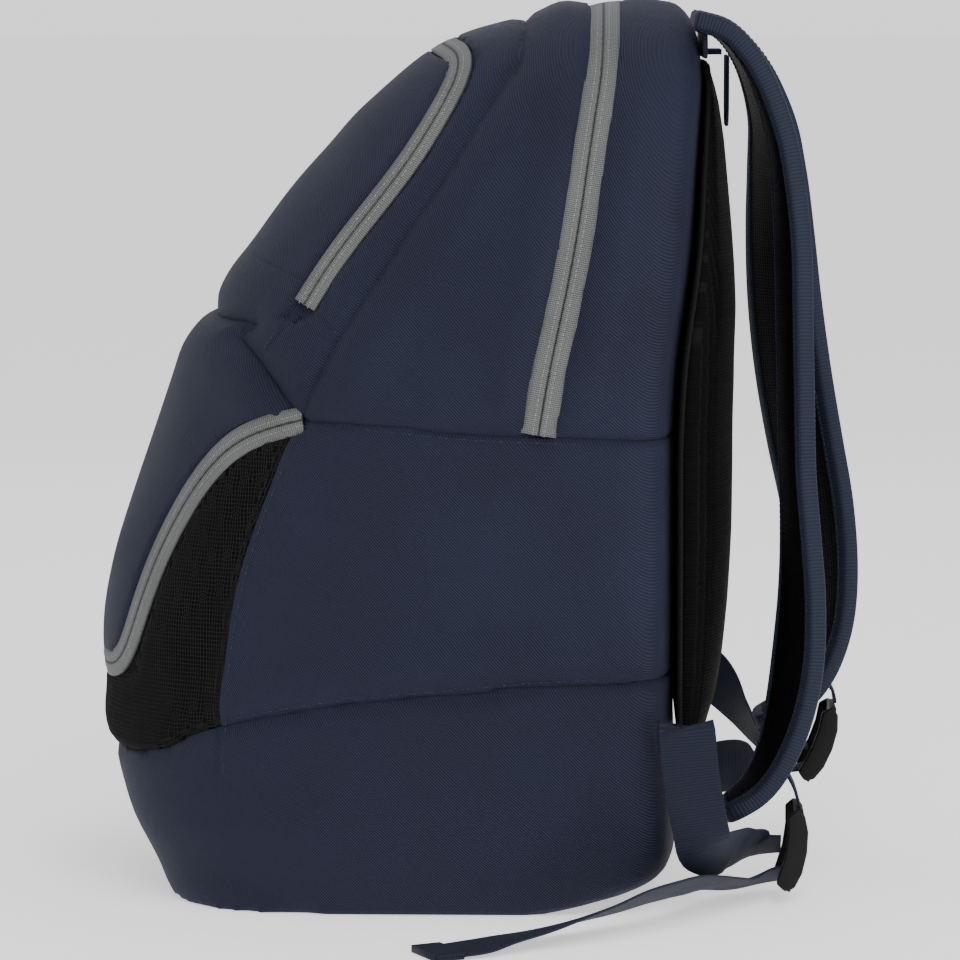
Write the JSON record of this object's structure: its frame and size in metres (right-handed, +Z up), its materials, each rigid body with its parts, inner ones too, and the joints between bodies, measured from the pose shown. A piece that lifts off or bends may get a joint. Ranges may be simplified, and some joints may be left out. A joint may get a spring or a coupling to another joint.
{
  "type": "racket backpack",
  "caption": "Stuffed sports backpack with an arched main zip, an upper front pocket, a net-sided lower pocket, a firm base and padded mesh-backed shoulder straps.",
  "frame": {"origin": "centre of the standing surface under the bag and its hanging straps, at the lowest point of the base", "axes": "+Z up; +Y towards the padded back and the straps, so the pockets face -Y; +X to the wearer's right"},
  "size_m": [0.4509, 0.4248, 0.4864],
  "materials": {
    "navy_fabric": "twill polyester, slight sheen",
    "net_mesh": "open net, matte",
    "spacer_mesh": "air mesh, matte",
    "strap_foam": "padded twill with mesh underside and ribbed binding",
    "lining": "plain lining",
    "stiff_board": "matte sheet",
    "zip_tape": "woven tape with nylon coil",
    "zip_metal": "satin enamel",
    "webbing": "ribbed webbing",
    "buckle_plastic": "satin moulded"
  },
  "bodies": {
    "bag": {"base_tub": "navy_fabric", "base_board": "stiff_board", "lower_side_shell": "navy_fabric", "upper_rear_shell": "navy_fabric", "flap_side_folds": "navy_fabric", "mesh_gusset": "net_mesh", "lower_pocket_partition": "lining", "main_zip_rear": "zip_tape", "lower_zip_inner": "zip_tape", "back_pad": "spacer_mesh", "back_board": "stiff_board", "racket_sleeve": "lining", "strap_yoke": "navy_fabric", "haul_loop_tabs": "webbing", "webbing_anchors": "webbing", "webbing_loop_right": "webbing", "webbing_loop_left": "webbing", "webbing_tail_right": "webbing", "webbing_tail_left": "webbing", "tail_hem_right": "webbing", "tail_hem_left": "webbing"},
    "front_flap": {"upper_front_shell": "navy_fabric", "upper_pocket_partition": "lining", "main_zip_front": "zip_tape", "upper_zip_inner": "zip_tape"},
    "upper_pocket": {"upper_pocket_cover": "navy_fabric", "upper_zip_outer": "zip_tape"},
    "lower_pocket": {"lower_pocket_cover": "navy_fabric", "lower_zip_outer": "zip_tape"},
    "main_slider": {"main_zip_slider": "zip_metal"},
    "main_pull": {"main_zip_pull": "zip_metal"},
    "upper_slider": {"upper_zip_slider": "zip_metal"},
    "upper_pull": {"upper_zip_pull": "zip_metal"},
    "lower_slider": {"lower_zip_slider": "zip_metal"},
    "lower_pull": {"lower_zip_pull": "zip_metal"},
    "strap_right": {"strap_right": "strap_foam", "strap_tab_right": "webbing"},
    "strap_left": {"strap_left": "strap_foam", "strap_tab_left": "webbing"},
    "buckle_right": {"buckle_right": "buckle_plastic"},
    "buckle_left": {"buckle_left": "buckle_plastic"},
    "haul_loop": {"haul_loop": "webbing"}
  },
  "joints": [
    {"name": "front_flap_open", "type": "hinge", "parent": "bag", "child": "front_flap", "pos_m": [0, -0.06, 0.262], "axis": [1, 0, 0], "range_deg": [0, 12], "deforming": ["flap_side_folds"]},
    {"name": "upper_pocket_open", "type": "hinge", "parent": "front_flap", "child": "upper_pocket", "pos_m": [0, -0.118, 0.335], "axis": [1, 0, 0], "range_deg": [0, 35]},
    {"name": "lower_pocket_open", "type": "hinge", "parent": "bag", "child": "lower_pocket", "pos_m": [0, -0.13, 0.3], "axis": [-1, 0, 0], "range_deg": [0, 35]},
    {"name": "main_slider_travel", "type": "slide", "parent": "front_flap", "child": "main_slider", "axis": [0.1722, 0.1815, 0.9682], "range_m": [-0.035, 0.015]},
    {"name": "upper_slider_travel", "type": "slide", "parent": "front_flap", "child": "upper_slider", "axis": [0.1726, 0.5969, 0.7835], "range_m": [-0.015, 0.015]},
    {"name": "lower_slider_travel", "type": "slide", "parent": "bag", "child": "lower_slider", "axis": [-0.1954, 0.3983, 0.8962], "range_m": [-0.012, 0.012]},
    {"name": "main_pull_swing", "type": "hinge", "parent": "main_slider", "child": "main_pull", "pos_m": [-0.14919, 0.05193, 0.35696], "axis": [-0.0455, 0.9833, -0.1763], "range_deg": [0, 60]},
    {"name": "upper_pull_swing", "type": "hinge", "parent": "upper_slider", "child": "upper_pull", "pos_m": [-0.11783, -0.04433, 0.39617], "axis": [-0.6337, 0.6763, -0.3757], "range_deg": [0, 60]},
    {"name": "lower_pull_swing", "type": "hinge", "parent": "lower_slider", "child": "lower_pull", "pos_m": [-0.09515, -0.17594, 0.18997], "axis": [-0.7246, 0.5571, -0.4056], "range_deg": [0, 60]},
    {"name": "strap_right_swing", "type": "hinge", "parent": "bag", "child": "strap_right", "pos_m": [0.062, 0.128, 0.462], "axis": [1, 0, 0], "range_deg": [-2, 12], "deforming": ["webbing_loop_right", "webbing_tail_right"]},
    {"name": "strap_left_swing", "type": "hinge", "parent": "bag", "child": "strap_left", "pos_m": [-0.062, 0.128, 0.462], "axis": [1, 0, 0], "range_deg": [-2, 12], "deforming": ["webbing_loop_left", "webbing_tail_left"]},
    {"name": "buckle_right_tilt", "type": "hinge", "parent": "strap_right", "child": "buckle_right", "pos_m": [0.082, 0.17406, 0.05079], "axis": [1, 0, 0], "range_deg": [-15, 15]},
    {"name": "buckle_left_tilt", "type": "hinge", "parent": "strap_left", "child": "buckle_left", "pos_m": [-0.082, 0.20052, 0.08067], "axis": [1, 0, 0], "range_deg": [-15, 15]},
    {"name": "haul_loop_lift", "type": "hinge", "parent": "bag", "child": "haul_loop", "pos_m": [0, 0.135, 0.455], "axis": [1, 0, 0], "range_deg": [0, 100]}
  ]
}
